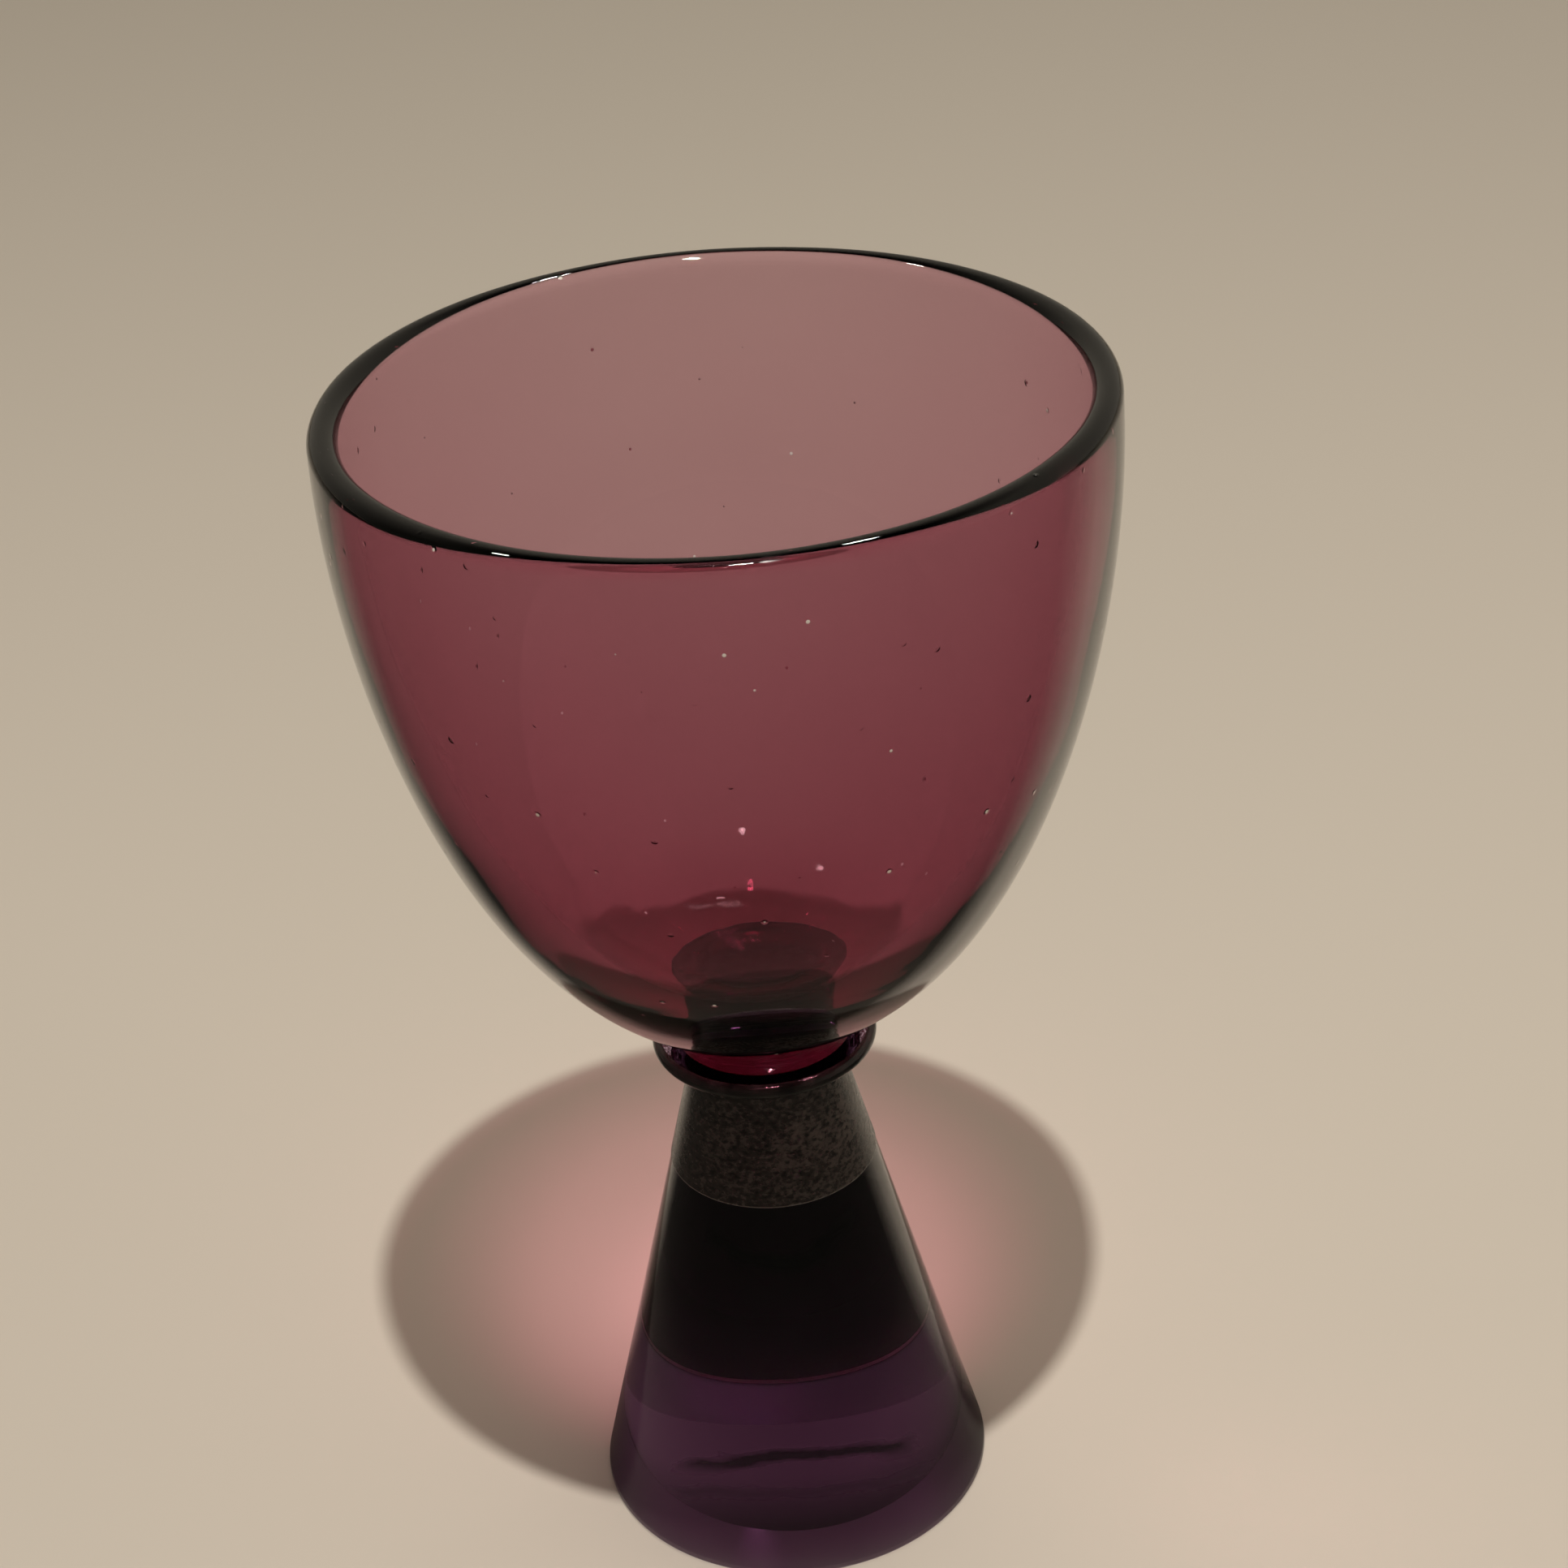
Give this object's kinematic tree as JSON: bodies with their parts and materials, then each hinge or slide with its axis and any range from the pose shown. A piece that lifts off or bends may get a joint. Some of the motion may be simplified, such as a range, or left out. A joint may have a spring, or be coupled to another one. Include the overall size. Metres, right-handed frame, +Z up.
{
  "type": "chalice",
  "caption": "Stemmed drinking glass with a deep round-bottomed plum bowl on a short button, a thin disc collar and a solid violet cone foot.",
  "frame": {"origin": "centre of the ring that the foot stands on, on the surface it stands on", "axes": "+Z up along the glass's axis of turning; X and Y are alike"},
  "size_m": [0.1042, 0.1042, 0.1755],
  "materials": {
    "violet_glass": "polished, tinted in the body",
    "plum_glass": "fire-polished, tinted in the body"
  },
  "bodies": {
    "root": {"foot": "violet_glass", "collar": "violet_glass", "bowl_button": "plum_glass", "bowl": "plum_glass"}
  },
  "joints": []
}
